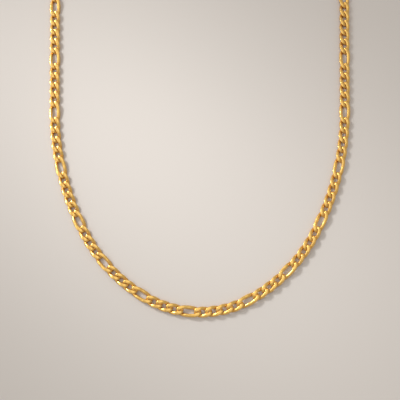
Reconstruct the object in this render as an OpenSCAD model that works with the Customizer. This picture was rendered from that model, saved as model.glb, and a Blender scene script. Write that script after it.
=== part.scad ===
// Figaro neck chain, lying flat in a closed loop, in millimetres.
// Short twisted curb links run in groups between single long links, and a plain
// barrel clasp with an eye at each end closes the loop at the back of the neck.
// The loop rests on z = 0 with its front towards -Y and its clasp towards +Y.

/* [Wire] */
// Width of the oval wire that every link is bent from, seen from above
wire_w = 1.18; // [0.9:0.02:1.3]
// Thickness of that wire across its width
wire_t = 0.84; // [0.7:0.02:0.9]
// Room at each side of a wire inside the link that holds it
side_play = 0.24; // [0.18:0.01:0.35]
// Play along the chain between two linked wires
end_play = 0.14; // [0.1:0.01:0.3]
// Turn of each link's ends out of the flat, in degrees
twist = 54; // [51:1:57]

/* [Links] */
// Length that a short curb link adds to the chain
short_pitch = 3.7; // [3.3:0.1:5]
// Length that a long link adds to the chain
long_pitch = 6.1; // [5.2:0.1:9]
// Extra width of a long link at its middle
long_bulge = 0.2; // [0.15:0.05:0.5]
// Thickness of the chain between its two ground faces
chain_t = 1.6; // [1.3:0.1:2.2]

/* [Clasp] */
// Length that the clasp adds to the chain
clasp_pitch = 12; // [10:0.5:18]
// Diameter of the clasp's barrel
barrel_d = 3; // [2.4:0.1:4]
// Length of the rounded nose at each end of the barrel
nose_len = 1; // [0.6:0.1:1.4]
// Width of the flat on the barrel's underside
flat_w = 1.6; // [1:0.1:2]
// Thickness of the wire of the clasp's eyes
eye_wire_d = 0.8; // [0.7:0.05:0.9]
// Turn of the eyes out of the flat, in degrees
eye_turn = 46; // [42:1:54]
// Play along the chain between an eye and the link that it holds
eye_play = 0.2; // [0.15:0.01:0.35]

/* [Hidden] */
gold = [0.91, 0.70, 0.31];

// Short links in each group, from the clasp down the left side, over the front
// and up the right side. One long link lies between two groups.
curb_runs = [4, 4, 4, 4, 4, 4, 4, 4, 3, 3, 3, 4, 3, 4, 4, 4, 4, 5, 4, 4, 4, 4];

// How the loop lies from the middle of its front to its straight side: the radius
// of each bend as a share of the loop's length, and its turn in degrees.
bends = [[0.081, 30], [0.127, 31.5], [0.225, 26]];

// Distance of the clasp from the middle of the back, as a share of the loop.
clasp_shift = 0.004;

// Squareness of each kind's oval, from 2 for an ellipse upwards, and how late the
// turn comes towards its ends, from 1 for an even turn upwards.
short_squareness = 3.3;
short_lateness = 1;
long_squareness = 3.1;
long_lateness = 1.6;
short_stations = 10;
long_stations = 14;
wire_sides = 6;
heading_step = 2; // angle to each side over which the wire's heading is taken

half_w = (wire_w + wire_t) / 2 + side_play;

// The kind of every link in order, 0 short and 1 long.
last_run = len(curb_runs) - 1;
kinds = [
    for (run = [0 : last_run])
        each concat([for (i = [1 : curb_runs[run]]) 0], run < last_run ? [1] : [])
];
pitches = [for (kind = kinds) kind == 0 ? short_pitch : long_pitch];
loop_len = clasp_pitch + sum(pitches);

// Distance along the loop, from the clasp's middle, at which each link starts.
starts = [
    for (i = 0, s = clasp_pitch / 2; i < len(pitches); s = s + pitches[i], i = i + 1) s
];

function sum(list) = list * [for (value = list) 1];
function unit(v) = v / norm(v);

// A bend turns the heading from h0 to h1 about a centre one radius to the left.
function bend_end(p, r, h0, h1) = p + r * [sin(h1) - sin(h0), cos(h0) - cos(h1)];

// Legs of half the loop, each [distance, point, heading, radius] at its start.
function bend_legs(i = 0, t = 0, p = [0, 0], h = 0) =
    i == len(bends) ? [[t, p, h, 0]]
    : let (r = bends[i][0] * loop_len, h1 = h + bends[i][1], t1 = t + r * bends[i][1] * PI / 180)
    concat([[t, p, h, r]], bend_legs(i + 1, t1, bend_end(p, r, h, h1), h1));

// The straight side takes what the bends and the round back leave of half the loop.
front_legs = bend_legs();
side = front_legs[len(bends)];
side_h = side[2];
back_turn = 180 - side_h;
back_ratio = back_turn * PI / 180 / sin(side_h);
side_len = (loop_len / 2 - side[0] - side[1].x * back_ratio) / (1 + cos(side_h) * back_ratio);
back_start = side[1] + side_len * [cos(side_h), sin(side_h)];
back_r = back_start.x / sin(side_h);
legs = concat(front_legs, [[side[0] + side_len, back_start, side_h, back_r]]);

function leg_point(leg, t) =
    leg[3] == 0 ? leg[1] + (t - leg[0]) * [cos(leg[2]), sin(leg[2])]
    : bend_end(leg[1], leg[3], leg[2], leg[2] + (t - leg[0]) / leg[3] * 180 / PI);
function half_point(t) =
    let (passed = [for (leg = legs) if (leg[0] <= t) leg])
    leg_point(passed[len(passed) - 1], t);

// Point of the loop at distance s anticlockwise from the clasp's middle.
function loop_point(s) =
    let (t = s + clasp_shift * loop_len - loop_len / 2, p = half_point(abs(t)))
    [t < 0 ? -p.x : p.x, p.y];

// A link's form: half its middle line's length and width, squareness and lateness.
// The middle line's length reaches a wire past each joint.
function half_length(pitch) = (pitch + wire_w + end_play) / 2;
short_form = [half_length(short_pitch), half_w, short_squareness, short_lateness];
long_form = [half_length(long_pitch), half_w + long_bulge / 2, long_squareness, long_lateness];

// Middle line of a link along x at angle u: an oval whose cross-line turns as it
// goes, so that its ends stand crosswise to the ends of its neighbours.
function signed_pow(c, power) = sign(c) * pow(abs(c), power);
function link_line(form, u) =
    let (
        end = signed_pow(cos(u), 2 / form[2]),
        w = form[1] * signed_pow(sin(u), 2 / form[2]),
        turn = -twist * signed_pow(end, form[3])
    )
    [form[0] * end, w * cos(turn), w * sin(turn)];

// One ring of wire corners round the middle line, ground flat above and below.
function ground(p) = [p.x, p.y, max(0, min(chain_t, p.z + chain_t / 2))];
function wire_ring(form, u) =
    let (
        along = unit(link_line(form, u + heading_step) - link_line(form, u - heading_step)),
        up = unit([0, 0, 1] - along.z * along),
        out = cross(along, up)
    )
    [
        for (i = [0 : wire_sides - 1])
            let (a = 360 * i / wire_sides)
            ground(link_line(form, u) + wire_w / 2 * cos(a) * out + wire_t / 2 * sin(a) * up)
    ];

// Corners and faces of one link, from ring to ring of the wire.
function link_points(form, stations) = [
    for (k = [0 : stations - 1]) each wire_ring(form, 360 * k / stations)
];
function link_faces(stations, first) = [
    for (k = [0 : stations - 1], i = [0 : wire_sides - 1])
        let (
            here = first + k * wire_sides,
            next = first + (k + 1) % stations * wire_sides,
            j = (i + 1) % wire_sides
        )
        each [[here + i, next + j, next + i], [here + i, here + j, next + j]]
];

// Lays points along x between two points of the loop.
function laid(points, a, b) =
    let (mid = (a + b) / 2, dir = unit(b - a))
    [for (p = points) [mid.x + dir.x * p.x - dir.y * p.y, mid.y + dir.y * p.x + dir.x * p.y, p.z]];

short_link = link_points(short_form, short_stations);
long_link = link_points(long_form, long_stations);
function links_of(kind) = [
    for (i = [0 : len(kinds) - 1]) if (kinds[i] == kind)
        laid(kind == 0 ? short_link : long_link, loop_point(starts[i]), loop_point(starts[i] + pitches[i]))
];
short_links = links_of(0);
long_links = links_of(1);

// The model's origin is the middle of the chain's outline, on the surface below it.
corners = [for (link = concat(short_links, long_links)) each link];
xs = [for (p = corners) p.x];
ys = [for (p = corners) p.y];
middle = [(min(xs) + max(xs)) / 2, (min(ys) + max(ys)) / 2, 0];

module link_row(links, stations) {
    color(gold)
        translate(-middle)
        polyhedron(
            points = [for (link = links) each link],
            faces = [for (n = [0 : len(links) - 1]) each link_faces(stations, n * stations * wire_sides)]
        );
}

module curb_links() {
    link_row(short_links, short_stations);
}

module long_links() {
    link_row(long_links, long_stations);
}

// The clasp lies between the ends of the chain, along x before it is placed.
eye_r = (wire_w + eye_wire_d) / 2 + side_play;
eye_x = (clasp_pitch - end_play + eye_wire_d) / 2 + eye_play - eye_r;
barrel_half = (clasp_pitch - end_play) / 2 - wire_w - eye_play;
end_r = barrel_d / 4;
barrel_z = sqrt(pow(barrel_d / 2, 2) - pow(flat_w / 2, 2));

module barrel() {
    rotate([0, 90, 0])
        rotate_extrude($fn = 48)
        polygon([
            [0, -barrel_half],
            [end_r, -barrel_half],
            [barrel_d / 2, nose_len - barrel_half],
            [barrel_d / 2, barrel_half - nose_len],
            [end_r, barrel_half],
            [0, barrel_half]
        ]);
}

module eye(end) {
    translate([end * eye_x, 0, chain_t / 2])
        rotate([-end * eye_turn, 0, 0])
        rotate_extrude($fn = 48)
        translate([eye_r, 0])
        circle(d = eye_wire_d, $fn = 24);
}

module clasp() {
    a = loop_point(-clasp_pitch / 2);
    b = loop_point(clasp_pitch / 2);
    dir = b - a;
    color(gold)
        translate([(a.x + b.x) / 2, (a.y + b.y) / 2, 0] - middle)
        rotate([0, 0, atan2(dir.y, dir.x)])
        intersection() {
            union() {
                translate([0, 0, barrel_z]) barrel();
                eye(1);
                eye(-1);
            }
            translate([-clasp_pitch, -barrel_d, 0])
                cube([2 * clasp_pitch, 2 * barrel_d, 2 * barrel_d]);
        }
}

curb_links();
long_links();
clasp();
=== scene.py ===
"""The finish of a figaro neck chain that lies in a closed loop on a pale surface.

Every size is in millimetres, and MM turns it into Blender's metres. The chain runs
anticlockwise round the loop, seen from above: from the clasp down the left side, over
the front and up the right side.
"""

import logging
import math
from dataclasses import dataclass, field
from enum import Enum

import bpy
import numpy as np
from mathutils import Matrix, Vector


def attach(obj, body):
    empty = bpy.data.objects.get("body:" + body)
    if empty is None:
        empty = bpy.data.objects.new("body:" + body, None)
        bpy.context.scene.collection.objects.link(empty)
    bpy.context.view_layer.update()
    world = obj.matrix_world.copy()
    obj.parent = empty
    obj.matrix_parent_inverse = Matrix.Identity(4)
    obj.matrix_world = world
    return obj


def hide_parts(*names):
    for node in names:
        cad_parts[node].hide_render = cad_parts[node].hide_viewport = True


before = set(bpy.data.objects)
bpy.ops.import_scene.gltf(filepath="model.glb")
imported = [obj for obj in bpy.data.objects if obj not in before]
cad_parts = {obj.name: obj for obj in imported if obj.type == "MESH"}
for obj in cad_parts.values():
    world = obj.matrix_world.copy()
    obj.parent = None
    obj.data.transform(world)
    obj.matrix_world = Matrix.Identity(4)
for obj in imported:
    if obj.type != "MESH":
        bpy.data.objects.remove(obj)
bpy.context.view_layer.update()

MM = 0.001
BODY = "root"
LOG = logging.getLogger("chain")

# Steps in rows and columns from a face's first corner to each of its four corners.
QUAD_STEPS = ((0, 0), (1, 0), (1, 1), (0, 1))

# The Mix node gives one name to several of its sockets, so these go by their numbers.
MIX_FACTOR, MIX_VALUES, MIX_COLOURS = 0, (2, 3), (6, 7)
MIXED_VALUE, MIXED_COLOUR = 0, 2


class LinkKind(Enum):
    """The two kinds of link in a figaro chain."""

    SHORT = "curb_links"
    LONG = "long_links"


def linear_colour(hex_code: str) -> tuple[float, float, float, float]:
    """Turns an sRGB hex colour into the linear colour that shaders take.

    Args:
        hex_code: six hex digits with or without a leading hash sign.

    Returns:
        Linear red, green, blue and an alpha of one.
    """
    digits = hex_code.lstrip("#")
    shares = [int(digits[i:i + 2], 16) / 255 for i in (0, 2, 4)]
    red, green, blue = (
        share / 12.92 if share <= 0.04045 else ((share + 0.055) / 1.055) ** 2.4
        for share in shares
    )
    return red, green, blue, 1.0


def add_node(
    tree: bpy.types.NodeTree,
    kind: str,
    settings: dict[str | int, object] | None = None,
    links: dict[str | int, bpy.types.NodeSocket] | None = None,
) -> bpy.types.Node:
    """Adds one shader node with its settings and its incoming links.

    Args:
        tree: the node tree that takes the node.
        kind: Blender's type name of the node.
        settings: values by the name or number of an input, or by the name of a property.
        links: outputs of other nodes, by the name or number of the input that each feeds.

    Returns:
        The new node.
    """
    node = tree.nodes.new(kind)
    for name, value in (settings or {}).items():
        if isinstance(name, int) or name in node.inputs:
            node.inputs[name].default_value = value
        else:
            setattr(node, name, value)
    for name, socket in (links or {}).items():
        tree.links.new(socket, node.inputs[name])
    return node


def unit_rows(vectors: np.ndarray) -> np.ndarray:
    """Scales vectors, held along the last axis, to a length of one."""
    return vectors / np.linalg.norm(vectors, axis=-1, keepdims=True)


def signed_power(values: np.ndarray, power: float) -> np.ndarray:
    """Raises the size of each value to a power and keeps its sign."""
    return np.sign(values) * np.abs(values) ** power


def soft_limit(height: np.ndarray, limit: np.ndarray | float, sharpness: float) -> np.ndarray:
    """Grinds heights down to a limit on both sides of zero with a softly broken edge.

    The result is height / (1 + (|height| / limit) ^ sharpness) ^ (1 / sharpness): well
    under the limit a height stays as it is, and well over it the result is the limit.

    Args:
        height: heights above the middle of the chain.
        limit: the height of the ground face.
        sharpness: how crisp the edge of the face is; polishing lowers it.

    Returns:
        The ground heights.
    """
    return height / (1 + np.abs(height / limit) ** sharpness) ** (1 / sharpness)


def grid_quads(rows: int, columns: int, ring: bool) -> np.ndarray:
    """Numbers the faces of a grid of corners whose last column meets its first one.

    The face at (row, column) has the corners (row, column), (row + 1, column),
    (row + 1, column + 1) and (row, column + 1), and corner (row, column) has the number
    row * columns + column.

    Args:
        rows: rows of corners.
        columns: corners in each row.
        ring: whether the last row meets the first one too.

    Returns:
        The numbers of each face's corners, of shape (faces, 4).
    """
    joined = rows if ring else rows - 1
    row, column = np.meshgrid(np.arange(joined), np.arange(columns), indexing="ij")
    corners = [(row + a) % rows * columns + (column + b) % columns for a, b in QUAD_STEPS]
    return np.stack(corners, axis=-1).reshape(-1, 4)


def mesh_from_quads(name: str, points: np.ndarray, quads: np.ndarray) -> bpy.types.Mesh:
    """Makes a smooth mesh.

    Args:
        name: the mesh's name.
        points: the corners, with x, y and z along the last axis.
        quads: the numbers of each face's corners, of shape (faces, 4).

    Returns:
        The mesh.
    """
    mesh = bpy.data.meshes.new(name)
    mesh.vertices.add(points.size // 3)
    mesh.vertices.foreach_set("co", points.astype(np.float32).ravel())
    mesh.loops.add(quads.size)
    mesh.loops.foreach_set("vertex_index", quads.astype(np.int32).ravel())
    mesh.polygons.add(len(quads))
    mesh.polygons.foreach_set("loop_start", np.arange(0, quads.size, 4, dtype=np.int32))
    mesh.polygons.foreach_set("use_smooth", np.ones(len(quads), dtype=bool))
    mesh.update(calc_edges=True)
    return mesh


def mark(mesh: bpy.types.Mesh, name: str, values: np.ndarray) -> None:
    """Keeps one value for each corner of a mesh, for its finish to read."""
    kept = mesh.attributes.new(name, "FLOAT", "POINT")
    kept.data.foreach_set("value", values.astype(np.float32).ravel())


def dressed(
    mesh: bpy.types.Mesh, node: str, finish: bpy.types.Material
) -> bpy.types.Object:
    """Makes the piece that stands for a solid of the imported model.

    Args:
        mesh: the piece's mesh, in metres.
        node: the solid's node, which the piece replaces.
        finish: the material.

    Returns:
        The piece, in the scene and riding on the chain's one body.
    """
    mesh.materials.append(finish)
    piece = bpy.data.objects.new(f"{node}_finished", mesh)
    bpy.context.scene.collection.objects.link(piece)
    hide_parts(node)
    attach(piece, BODY)
    return piece


@dataclass(frozen=True)
class Route:
    """The line that the chain lies along, seen from above.

    Half of the loop runs from the middle of its front through three bends, each wider
    than the last, along a straight side and round the back, which is an arc that meets
    the other half squarely. The other half is its mirror image. Each bend has a radius,
    as a share of the loop's length, and a turn in degrees. The clasp lies a small share
    of the loop away from the middle of the back.
    """

    loop_len: float
    bend_shares: tuple[float, ...] = (0.081, 0.127, 0.225)
    bend_turns: tuple[float, ...] = (30.0, 31.5, 26.0)
    clasp_shift: float = 0.004

    def legs(self) -> np.ndarray:
        """Works out the legs of half the loop.

        A leg of radius r that turns from heading a to heading b moves the point by
        r * (e^ib - e^ia) / i, with the plane taken as complex numbers. The straight side
        has the length at which the back closes and half the loop has its whole length.

        Returns:
            One row for each leg: distance and point at its start, heading in radians,
            and curvature, which is 0 on the straight side.
        """
        distance, point, heading, rows = 0.0, 0j, 0.0, []
        for share, turn in zip(self.bend_shares, self.bend_turns):
            radius, turned = share * self.loop_len, heading + math.radians(turn)
            rows.append((distance, point, heading, 1 / radius))
            point += radius * (np.exp(1j * turned) - np.exp(1j * heading)) / 1j
            distance += radius * (turned - heading)
            heading = turned
        rows.append((distance, point, heading, 0.0))
        back_ratio = (math.pi - heading) / math.sin(heading)
        side_len = (self.loop_len / 2 - distance - point.real * back_ratio) / (
            1 + math.cos(heading) * back_ratio
        )
        point += side_len * np.exp(1j * heading)
        rows.append((distance + side_len, point, heading, math.sin(heading) / point.real))
        return np.array(rows)

    def points(self, distance: np.ndarray) -> np.ndarray:
        """Finds points of the loop.

        A point that lies a distance t along a leg with heading h and curvature k is moved
        by e^ih * (e^ikt - 1) / ik from the leg's start, or by t * e^ih on the straight side.

        Args:
            distance: distances from the clasp's middle, anticlockwise.

        Returns:
            The points as complex numbers, with the middle of the front at zero.
        """
        from_front = distance + (self.clasp_shift - 0.5) * self.loop_len
        legs = self.legs()
        passed = np.searchsorted(legs[:, 0].real, np.abs(from_front), side="right") - 1
        start, point, heading, curvature = legs[passed].T
        along = np.abs(from_front) - start
        straight = curvature == 0
        divisor = np.where(straight, 1, 1j * curvature)
        moved = np.where(straight, along, np.expm1(1j * curvature * along) / divisor)
        half = point + np.exp(1j * heading) * moved
        return np.where(from_front < 0, -half.conj(), half)


@dataclass(frozen=True)
class Wire:
    """The oval wire of the links and how it is twisted and ground.

    Side play is the room at each side of a wire inside the link that holds it, and end
    play is the room along the chain. The sides are the corners of the wire's section.
    """

    width: float = 1.18
    thickness: float = 0.84
    side_play: float = 0.24
    end_play: float = 0.14
    twist_deg: float = 54.0
    chain_thickness: float = 1.6
    edge_sharpness: float = 3.0
    sides: int = 20

    @property
    def half_width(self) -> float:
        """Distance from a curb link's middle to the middle of the wire at its side."""
        return (self.width + self.thickness) / 2 + self.side_play


@dataclass(frozen=True)
class LinkForm:
    """One kind of link: a twisted oval.

    Squareness is 2 for an ellipse and grows towards a rectangle. Lateness is 1 where the
    link turns evenly along its length, and grows as the turn is kept for its ends.
    """

    wire: Wire
    pitch: float
    half_width: float
    squareness: float
    lateness: float
    stations: int
    fine_steps: int = 1440

    @property
    def half_length(self) -> float:
        """Half the length of the wire's middle line, which reaches past each joint."""
        return (self.pitch + self.wire.width + self.wire.end_play) / 2

    def middle_line(self) -> tuple[np.ndarray, np.ndarray]:
        """Works out the middle line of the wire.

        An angle goes once round. With e its cosine and w its sine, each raised to
        2 / squareness under its own sign, a point lies at x = half_length * e and at
        distance w * half_width from the x axis, turned about that axis by
        -twist * e ^ lateness. The points are then taken at even steps along the line.

        Returns:
            The points and the headings there, each of shape (stations, 3).
        """
        angle = np.linspace(0, 2 * np.pi, self.fine_steps, endpoint=False)
        end = signed_power(np.cos(angle), 2 / self.squareness)
        across = self.half_width * signed_power(np.sin(angle), 2 / self.squareness)
        turn = -np.radians(self.wire.twist_deg) * signed_power(end, self.lateness)
        fine = np.stack(
            [self.half_length * end, across * np.cos(turn), across * np.sin(turn)], axis=-1
        )
        closed = np.concatenate([fine, fine[:1]])
        reach = np.concatenate([[0], np.cumsum(np.linalg.norm(np.diff(closed, axis=0), axis=-1))])
        even = np.linspace(0, reach[-1], self.stations, endpoint=False)
        line = np.stack([np.interp(even, reach, closed[:, axis]) for axis in range(3)], axis=-1)
        heading = unit_rows(np.roll(line, -1, axis=0) - np.roll(line, 1, axis=0))
        return line, heading

    def skin(self) -> np.ndarray:
        """Carries the oval section of the wire, flat side up, along its middle line.

        Returns:
            Corners of shape (stations, sides, 3) before grinding.
        """
        line, heading = self.middle_line()
        up = unit_rows(np.array([0.0, 0.0, 1.0]) - heading[:, 2:] * heading)
        out = np.cross(heading, up)
        half_w, half_t = self.wire.width / 2, self.wire.thickness / 2
        angle = np.linspace(0, 2 * np.pi, self.wire.sides, endpoint=False)[:, None]
        section = half_w * np.cos(angle) * out[:, None] + half_t * np.sin(angle) * up[:, None]
        return line[:, None] + section


@dataclass(frozen=True)
class Tumbled:
    """Gold plate over brass wire: drawn, bent, ground flat and then tumbled and polished.

    Tumbling leaves the plate with a soft shine and short fine scratches that cross each
    other. It hardly reaches the wire deep between two links, which stays more matt. That
    low wire is also given a darker, redder colour, which is painted shade. The finest
    scratches scatter some of the light, so the metallic value is a little under one. The
    scratches are drawn about five times as coarse as real ones, so that they show.
    """

    name: str = "gold_plate_tumbled"
    colour: str = "#F6CB73"
    worn_colour: str = "#F2C16A"
    painted_shade_colour: str = "#DC9F48"
    roughness: float = 0.27
    roughness_spread: float = 0.1
    deep_roughness: float = 0.12
    metallic: float = 0.85
    cloud_mm: float = 1.5
    cloud_detail: float = 3.0
    scratch_mm: float = 0.05
    scratch_detail: float = 2.0
    scratch_depth: float = 0.06

    def marks(self, tree: bpy.types.NodeTree, place: bpy.types.NodeSocket) -> bpy.types.NodeSocket:
        """Draws the scratches, as values about one half."""
        return add_node(
            tree,
            "ShaderNodeTexNoise",
            {"Scale": 1 / (self.scratch_mm * MM), "Detail": self.scratch_detail},
            {"Vector": place},
        ).outputs["Fac"]

    def material(self) -> bpy.types.Material:
        """Builds the finish.

        Returns:
            The material. Its patterns lie on the Object coordinates, and it reads a share for
            each place, from 0 deep down to 1, that sets how polished it is and how much
            painted shade its colour takes.
        """
        finish = bpy.data.materials.new(self.name)
        finish.use_nodes = True
        tree = finish.node_tree
        tree.nodes.clear()
        place = add_node(tree, "ShaderNodeTexCoord").outputs["Object"]
        height = add_node(tree, "ShaderNodeAttribute", {"attribute_name": "unshaded_and_polished"})
        reach = height.outputs["Fac"]
        marks = self.marks(tree, place)
        clouds = add_node(
            tree,
            "ShaderNodeTexNoise",
            {"Scale": 1 / (self.cloud_mm * MM), "Detail": self.cloud_detail},
            {"Vector": place},
        )
        fresh, worn = linear_colour(self.colour), linear_colour(self.worn_colour)
        high = add_node(
            tree,
            "ShaderNodeMix",
            {"data_type": "RGBA", MIX_COLOURS[0]: fresh, MIX_COLOURS[1]: worn},
            {MIX_FACTOR: clouds.outputs["Fac"]},
        )
        # Painted shade: low wire between links takes the darker painted shade colour, high wire
        # the plate's own colour.
        colour = add_node(
            tree,
            "ShaderNodeMix",
            {"data_type": "RGBA", MIX_COLOURS[0]: linear_colour(self.painted_shade_colour)},
            {MIX_FACTOR: reach, MIX_COLOURS[1]: high.outputs[MIXED_COLOUR]},
        )
        spread = self.roughness_spread / 2
        polished = add_node(
            tree,
            "ShaderNodeMapRange",
            {"To Min": self.roughness - spread, "To Max": self.roughness + spread},
            {"Value": marks},
        )
        matter = add_node(
            tree,
            "ShaderNodeMapRange",
            {"To Min": self.deep_roughness, "To Max": 0.0},
            {"Value": reach},
        )
        roughness = add_node(
            tree,
            "ShaderNodeMath",
            {"operation": "ADD"},
            {0: polished.outputs["Result"], 1: matter.outputs["Result"]},
        )
        bump = add_node(
            tree,
            "ShaderNodeBump",
            {"Strength": self.scratch_depth, "Distance": self.scratch_mm * MM},
            {"Height": marks},
        )
        shader = add_node(
            tree,
            "ShaderNodeBsdfPrincipled",
            {"Metallic": self.metallic},
            {
                "Base Color": colour.outputs[MIXED_COLOUR],
                "Roughness": roughness.outputs["Value"],
                "Normal": bump.outputs["Normal"],
            },
        )
        add_node(tree, "ShaderNodeOutputMaterial", links={"Surface": shader.outputs["BSDF"]})
        return finish


@dataclass(frozen=True)
class Turned(Tumbled):
    """Gold plate over turned brass: the lathe's tool leaves fine rings round the barrel.

    The rings draw out the highlight along the barrel a little. They are drawn about
    twice as coarse as a finishing cut leaves them, so that they show.
    """

    name: str = "gold_plate_turned"
    roughness: float = 0.2
    scratch_depth: float = 0.2
    ring_mm: float = 0.14
    scratch_share: float = 0.35

    def marks(self, tree: bpy.types.NodeTree, place: bpy.types.NodeSocket) -> bpy.types.NodeSocket:
        """Draws the rings, with scratches over them.

        Args:
            tree: the material's node tree.
            place: the Object coordinates, which the scratches lie on.

        Returns:
            Values about one half: (1 + sin(2 pi * place along the barrel / ring)) / 2, mixed
            with the scratches.
        """
        along = add_node(tree, "ShaderNodeAttribute", {"attribute_name": "along_barrel_mm"})
        phase = add_node(
            tree,
            "ShaderNodeMath",
            {"operation": "MULTIPLY", 1: 2 * math.pi / self.ring_mm},
            {0: along.outputs["Fac"]},
        )
        wave = add_node(tree, "ShaderNodeMath", {"operation": "SINE"}, {0: phase.outputs["Value"]})
        rings = add_node(
            tree,
            "ShaderNodeMath",
            {"operation": "MULTIPLY_ADD", 1: 0.5, 2: 0.5},
            {0: wave.outputs["Value"]},
        )
        return add_node(
            tree,
            "ShaderNodeMix",
            {MIX_FACTOR: self.scratch_share},
            {MIX_VALUES[0]: rings.outputs["Value"], MIX_VALUES[1]: super().marks(tree, place)},
        ).outputs[MIXED_VALUE]


@dataclass(frozen=True)
class MattCard:
    """Matt painted card: an even pale beige that scatters light, with a faint tooth.

    The tooth of the paint is drawn a few times as coarse as a real one.
    """

    name: str = "matt_card"
    colour: str = "#D8D3CE"
    roughness: float = 0.9
    specular: float = 0.2
    tooth_mm: float = 0.4
    tooth_detail: float = 2.0
    tooth_height_mm: float = 0.02
    tooth_depth: float = 0.05

    def material(self) -> bpy.types.Material:
        """Builds the finish of the surface below the chain.

        Returns:
            The material. The tooth lies on the Object coordinates.
        """
        finish = bpy.data.materials.new(self.name)
        finish.use_nodes = True
        tree = finish.node_tree
        tree.nodes.clear()
        place = add_node(tree, "ShaderNodeTexCoord").outputs["Object"]
        tooth = add_node(
            tree,
            "ShaderNodeTexNoise",
            {"Scale": 1 / (self.tooth_mm * MM), "Detail": self.tooth_detail},
            {"Vector": place},
        )
        bump = add_node(
            tree,
            "ShaderNodeBump",
            {"Strength": self.tooth_depth, "Distance": self.tooth_height_mm * MM},
            {"Height": tooth.outputs["Fac"]},
        )
        shader = add_node(
            tree,
            "ShaderNodeBsdfPrincipled",
            {
                "Base Color": linear_colour(self.colour),
                "Roughness": self.roughness,
                "Specular IOR Level": self.specular,
            },
            {"Normal": bump.outputs["Normal"]},
        )
        add_node(tree, "ShaderNodeOutputMaterial", links={"Surface": shader.outputs["BSDF"]})
        return finish


@dataclass
class Chain:
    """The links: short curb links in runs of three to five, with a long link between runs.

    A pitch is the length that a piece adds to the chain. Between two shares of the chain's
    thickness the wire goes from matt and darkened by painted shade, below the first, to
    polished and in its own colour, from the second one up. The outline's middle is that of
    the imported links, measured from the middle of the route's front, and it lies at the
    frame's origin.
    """

    wire: Wire = field(default_factory=Wire)
    short_pitch: float = 3.7
    long_pitch: float = 6.1
    long_bulge: float = 0.2
    clasp_pitch: float = 12.0
    curb_runs: tuple[int, ...] = (
        4, 4, 4, 4, 4, 4, 4, 4, 3, 3, 3, 4, 3, 4, 4, 4, 4, 5, 4, 4, 4, 4
    )
    short_squareness: float = 3.3
    short_lateness: float = 1.0
    long_squareness: float = 3.1
    long_lateness: float = 1.6
    short_stations: int = 48
    long_stations: int = 64
    face_tilt_deg: float = 1.5
    shade_and_buff_from: float = 0.1
    shade_and_buff_to: float = 0.6
    outline_middle: complex = complex(-0.008, 85.0915)
    seed: int = 7

    def kinds(self) -> list[LinkKind]:
        """Lists the kind of every link in order.

        Returns:
            The kinds, from the clasp round to the clasp. No long link follows the last run.
        """
        order: list[LinkKind] = []
        for run in self.curb_runs:
            order += [LinkKind.SHORT] * run + [LinkKind.LONG]
        return order[:-1]

    def pitches(self) -> np.ndarray:
        """Gives the length that each link adds to the chain."""
        pitch = {LinkKind.SHORT: self.short_pitch, LinkKind.LONG: self.long_pitch}
        return np.array([pitch[kind] for kind in self.kinds()])

    def route(self) -> Route:
        """Lays the route for the whole length of the loop."""
        return Route(loop_len=self.clasp_pitch + float(self.pitches().sum()))

    def form(self, kind: LinkKind) -> LinkForm:
        """Gives the form of one kind of link.

        Args:
            kind: the kind of link.

        Returns:
            The form. A long link bulges a little past the short ones at its middle.
        """
        if kind is LinkKind.SHORT:
            return LinkForm(
                wire=self.wire,
                pitch=self.short_pitch,
                half_width=self.wire.half_width,
                squareness=self.short_squareness,
                lateness=self.short_lateness,
                stations=self.short_stations,
            )
        return LinkForm(
            wire=self.wire,
            pitch=self.long_pitch,
            half_width=self.wire.half_width + self.long_bulge / 2,
            squareness=self.long_squareness,
            lateness=self.long_lateness,
            stations=self.long_stations,
        )

    def joints(self) -> np.ndarray:
        """Finds the points in the frame where each link starts and the last one ends."""
        reach = self.clasp_pitch / 2 + np.concatenate([[0], np.cumsum(self.pitches())])
        return self.route().points(reach) - self.outline_middle

    def build(self, kind: LinkKind, finish: bpy.types.Material) -> bpy.types.Object:
        """Builds all the links of one kind as one piece.

        The corners of one link are turned about the upright axis and moved to the middle
        between two joints, for all links at once. Each link's upper face is ground at a
        slightly different tilt, because the chain moves while it is ground. The ground
        heights are stretched so that the lowest corner lies on the surface.

        Args:
            kind: the kind of link.
            finish: the material.

        Returns:
            The piece.
        """
        skin = self.form(kind).skin()
        joints = self.joints()
        chosen = np.array([k is kind for k in self.kinds()])
        start, end = joints[:-1][chosen], joints[1:][chosen]
        heading = (end - start) / np.abs(end - start)
        count, thickness = len(start), self.wire.chain_thickness
        half, sharpness = thickness / 2, self.wire.edge_sharpness
        spread = np.radians(self.face_tilt_deg)
        tilt = np.random.default_rng(self.seed).normal(0, spread, (2, count, 1, 1))
        x, y, z = np.moveaxis(np.broadcast_to(skin, (count, *skin.shape)), -1, 0)
        upper = half - np.abs(x * tilt[0] + y * tilt[1])
        stretch = half / soft_limit(np.abs(skin[..., 2]).max(), half, sharpness)
        ground = stretch * soft_limit(z, np.where(z > 0, upper, half), sharpness) + half
        flat = (x + 1j * y) * heading[:, None, None] + ((start + end) / 2)[:, None, None]
        points = np.stack([flat.real, flat.imag, ground], axis=-1)
        one_link = grid_quads(*skin.shape[:2], ring=True)
        quads = (one_link + np.arange(count)[:, None, None] * skin[..., 0].size).reshape(-1, 4)
        mesh = mesh_from_quads(kind.value, points * MM, quads)
        # The share that sets polish and painted shade rises with height: low wire is painted
        # darker and left matt.
        reach = (ground / thickness - self.shade_and_buff_from) / (self.shade_and_buff_to - self.shade_and_buff_from)
        mark(mesh, "unshaded_and_polished", np.clip(reach, 0, 1))
        return dressed(mesh, kind.value, finish)


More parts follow.
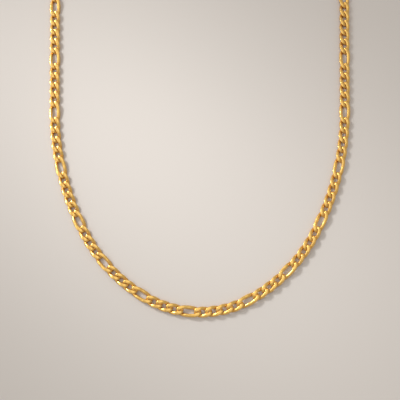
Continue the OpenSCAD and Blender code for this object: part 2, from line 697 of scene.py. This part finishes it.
@dataclass(frozen=True)
class Clasp:
    """The plain barrel at the back of the neck with a fixed eye at each end.

    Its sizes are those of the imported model. The barrel's noses are rounded, and the
    eyes run into them, because the real one is turned, soldered and polished.
    """

    wire: Wire
    pitch: float = 12.0
    barrel_width: float = 3.0
    nose_length: float = 1.0
    flat_width: float = 1.6
    eye_wire: float = 0.8
    eye_turn_deg: float = 46.0
    eye_play: float = 0.2
    voxel: float = 0.06
    softening: int = 8
    nose_rows: int = 16
    columns: int = 64

    @property
    def barrel_half(self) -> float:
        """Half of the barrel's length between its end discs."""
        return (self.pitch - self.wire.end_play) / 2 - self.wire.width - self.eye_play

    def barrel(self) -> np.ndarray:
        """Turns the barrel's profile about the x axis.

        Each nose is a quarter of an ellipse, from the end disc's rim, which is half as
        wide as the barrel, to the barrel's full width one nose length further in.

        Returns:
            Corners of shape (rows, columns, 3), with a pole at each end.
        """
        half, radius = self.barrel_half, self.barrel_width / 2
        angle = np.linspace(0, np.pi / 2, self.nose_rows)
        nose_x = half - self.nose_length * (1 - np.cos(angle))
        nose_r = radius / 2 * (1 + np.sin(angle))
        x = np.concatenate([[-half], -nose_x, nose_x[::-1], [half]])[:, None]
        r = np.concatenate([[0], nose_r, nose_r[::-1], [0]])[:, None]
        turn = np.linspace(0, 2 * np.pi, self.columns, endpoint=False)
        height = math.sqrt(radius ** 2 - (self.flat_width / 2) ** 2)
        skin = np.broadcast_arrays(x, r * np.cos(turn), height + r * np.sin(turn))
        return np.stack(skin, axis=-1)

    def eye(self, end: int) -> np.ndarray:
        """Carries the eye's round wire along a circle that is turned about the x axis.

        Args:
            end: 1 for the eye at the barrel's far end along x, and -1 for the other.

        Returns:
            Corners of shape (rows, columns, 3).
        """
        radius = (self.wire.width + self.eye_wire) / 2 + self.wire.side_play
        middle = (self.pitch - self.wire.end_play + self.eye_wire) / 2 + self.eye_play - radius
        along = np.linspace(0, 2 * np.pi, self.columns, endpoint=False)[:, None]
        around = np.linspace(0, 2 * np.pi, self.columns // 2, endpoint=False)
        reach = radius + self.eye_wire / 2 * np.cos(around)
        x, y, z = np.broadcast_arrays(
            reach * np.cos(along), reach * np.sin(along), self.eye_wire / 2 * np.sin(around)
        )
        leant = (y + 1j * z) * np.exp(-1j * end * math.radians(self.eye_turn_deg))
        height = self.wire.chain_thickness / 2
        return np.stack([end * middle + x, leant.real, height + leant.imag], axis=-1)

    def fused(self) -> tuple[np.ndarray, np.ndarray]:
        """Fuses the barrel and the eyes into one skin and softens the corners between them.

        Blender's voxel remesh runs while one unit is one millimetre, because it has a
        smallest voxel. What lies below the surface is pressed flat onto it.

        Returns:
            Corners in millimetres, of shape (corners, 3), and the corners of each face.
        """
        shells = [(self.barrel(), False), (self.eye(1), True), (self.eye(-1), True)]
        points, quads, count = [], [], 0
        for shell, ring in shells:
            points.append(shell.reshape(-1, 3))
            quads.append(grid_quads(*shell.shape[:2], ring=ring) + count)
            count += len(points[-1])
        corners = np.concatenate(points)
        corners[:, 2] = np.maximum(corners[:, 2], 0)
        parts = mesh_from_quads("clasp_parts", corners, np.concatenate(quads))
        piece = bpy.data.objects.new("clasp_parts", parts)
        bpy.context.scene.collection.objects.link(piece)
        fuse = piece.modifiers.new("fuse", "REMESH")
        fuse.mode, fuse.voxel_size = "VOXEL", self.voxel
        soften = piece.modifiers.new("soften", "SMOOTH")
        soften.iterations = self.softening
        applied = piece.evaluated_get(bpy.context.evaluated_depsgraph_get())
        skin = bpy.data.meshes.new_from_object(applied)
        bpy.data.objects.remove(piece)
        fused = np.empty(len(skin.vertices) * 3, dtype=np.float32)
        faces = np.empty(len(skin.polygons) * 4, dtype=np.int32)
        skin.vertices.foreach_get("co", fused)
        skin.loops.foreach_get("vertex_index", faces)
        bpy.data.meshes.remove(skin)
        bpy.data.meshes.remove(parts)
        return fused.reshape(-1, 3).astype(float), faces.reshape(-1, 4)

    def build(self, start: complex, end: complex, finish: bpy.types.Material) -> bpy.types.Object:
        """Builds the clasp between the two ends of the chain.

        Args:
            start: the joint that the clasp starts at, in the frame.
            end: the joint that it ends at.
            finish: the material. It reads the place along the barrel, which stays the
                same past the barrel's ends, because the eyes aren't turned.

        Returns:
            The piece.
        """
        corners, faces = self.fused()
        along = np.clip(corners[:, 0], -self.barrel_half, self.barrel_half)
        corners[:, 2] = np.maximum(corners[:, 2], 0)
        heading = (end - start) / abs(end - start)
        flat = (corners[:, 0] + 1j * corners[:, 1]) * heading + (start + end) / 2
        corners[:, 0], corners[:, 1] = flat.real, flat.imag
        mesh = mesh_from_quads("clasp", corners * MM, faces)
        mark(mesh, "along_barrel_mm", along)
        # The clasp takes no painted shade and is polished all over.
        mark(mesh, "unshaded_and_polished", np.ones_like(along))
        return dressed(mesh, "clasp", finish)


@dataclass(frozen=True)
class PhotoCamera:
    """The camera at the photograph's angle: nearly straight down, from the front.

    It draws nothing that is closer to it than the nearest distance.
    """

    field_deg: float = 35.0
    tilt_deg: float = 12.0
    distance: float = 223.0
    target: tuple[float, float, float] = (0.13, -46.2, 0.8)
    sensor_width: float = 36.0
    nearest: float = 10.0

    def build(self) -> bpy.types.Object:
        """Makes the camera and hands it to the scene.

        Returns:
            The camera, which looks at the target from the front, tilted off straight down.
        """
        camera = bpy.data.objects.new("camera", bpy.data.cameras.new("camera"))
        bpy.context.scene.collection.objects.link(camera)
        camera.data.sensor_width = self.sensor_width
        camera.data.lens = self.sensor_width / 2 / math.tan(math.radians(self.field_deg / 2))
        camera.data.clip_start = self.nearest * MM
        tilt = math.radians(self.tilt_deg)
        back = Vector((0.0, -math.sin(tilt), math.cos(tilt)))
        camera.location = (Vector(self.target) + self.distance * back) * MM
        camera.rotation_euler = (tilt, 0.0, 0.0)
        bpy.context.scene.camera = camera
        return camera


@dataclass(frozen=True)
class Lamp:
    """A studio lamp that is aimed at a point, from a direction and a distance.

    Azimuth 0 is to the right, and 90 is away from the camera. The power is in watts.
    """

    name: str
    azimuth_deg: float
    elevation_deg: float
    distance: float
    size: float
    power: float
    colour: str = "#FFFFFF"

    def data(self) -> bpy.types.Light:
        """Makes the lamp's own data.

        Returns:
            A square softbox.
        """
        light = bpy.data.lights.new(self.name, "AREA")
        light.shape, light.size = "SQUARE", self.size * MM
        return light

    def build(self, aim: Vector) -> bpy.types.Object:
        """Makes the lamp.

        Args:
            aim: the point in metres that the lamp faces.

        Returns:
            The lamp.
        """
        light = self.data()
        light.energy, light.color = self.power, linear_colour(self.colour)[:3]
        lamp = bpy.data.objects.new(self.name, light)
        bpy.context.scene.collection.objects.link(lamp)
        azimuth, elevation = math.radians(self.azimuth_deg), math.radians(self.elevation_deg)
        level = math.cos(elevation)
        away = Vector((math.cos(azimuth) * level, math.sin(azimuth) * level, math.sin(elevation)))
        lamp.location = aim + away * self.distance * MM
        lamp.rotation_mode = "QUATERNION"
        lamp.rotation_quaternion = away.to_track_quat("Z", "Y")
        return lamp


@dataclass(frozen=True)
class PoolLamp(Lamp):
    """A lamp whose beam is narrowed to a soft-edged pool of light."""

    beam_deg: float = 20.0
    edge: float = 1.0

    def data(self) -> bpy.types.Light:
        """Makes the lamp's own data.

        Returns:
            A spot whose pool has a soft edge.
        """
        light = bpy.data.lights.new(self.name, "SPOT")
        light.shadow_soft_size = self.size * MM / 2
        light.spot_size, light.spot_blend = math.radians(self.beam_deg), self.edge
        return light


@dataclass
class Studio:
    """A plain pale surface under soft light from the upper left."""

    floor_half: float = 6000.0
    card: MattCard = field(default_factory=MattCard)
    aim: tuple[float, float, float] = (-7.0, -39.0, 0.0)
    sky: str = "#FFF8F0"
    sky_strength: float = 0.49
    lamps: tuple[Lamp, ...] = (
        PoolLamp("key_lamp", 141.0, 33.0, 500.0, 100.0, 8.6, beam_deg=19.5),
        Lamp("upper_left_softbox", 150.0, 40.0, 900.0, 450.0, 0.65),
        Lamp("left_softbox", 180.0, 40.0, 900.0, 450.0, 0.97),
        Lamp("low_softbox", 120.0, 15.0, 900.0, 450.0, 0.76),
        Lamp("back_softbox", 90.0, 65.0, 900.0, 450.0, 0.35),
        Lamp("top_softbox", 90.0, 87.0, 900.0, 450.0, 0.46),
    )

    def build(self) -> bpy.types.Object:
        """Makes the surface, the lamps and the room's own light.

        Returns:
            The surface.
        """
        half = self.floor_half * MM
        mesh = bpy.data.meshes.new("floor")
        corners = [(-half, -half, 0), (half, -half, 0), (half, half, 0), (-half, half, 0)]
        mesh.from_pydata(corners, [], [(0, 1, 2, 3)])
        mesh.materials.append(self.card.material())
        floor = bpy.data.objects.new("floor", mesh)
        bpy.context.scene.collection.objects.link(floor)
        for lamp in self.lamps:
            lamp.build(Vector(self.aim) * MM)
        world = bpy.data.worlds.new("room")
        world.use_nodes = True
        world.node_tree.nodes.clear()
        light = add_node(
            world.node_tree,
            "ShaderNodeBackground",
            {"Color": linear_colour(self.sky), "Strength": self.sky_strength},
        )
        surface = {"Surface": light.outputs["Background"]}
        add_node(world.node_tree, "ShaderNodeOutputWorld", links=surface)
        bpy.context.scene.world = world
        bpy.context.scene.view_settings.view_transform = "Standard"
        return floor


def report_piece(piece: bpy.types.Object) -> None:
    """Logs a piece's name, its triangles and its size in millimetres.

    Args:
        piece: the piece.
    """
    piece.data.calc_loop_triangles()
    size = " x ".join(f"{side / MM:.2f}" for side in piece.dimensions)
    LOG.info("%s: %d triangles, %s mm", piece.name, len(piece.data.loop_triangles), size)


def main() -> None:
    """Builds the stage and the chain."""
    logging.basicConfig(level=logging.INFO, format="%(message)s")
    PhotoCamera().build()
    Studio().build()
    tumbled, turned = Tumbled().material(), Turned().material()
    chain = Chain()
    for kind in LinkKind:
        report_piece(chain.build(kind, tumbled))
    joints = chain.joints()
    report_piece(Clasp(chain.wire).build(joints[-1], joints[0], turned))


if __name__ == "__main__":
    main()
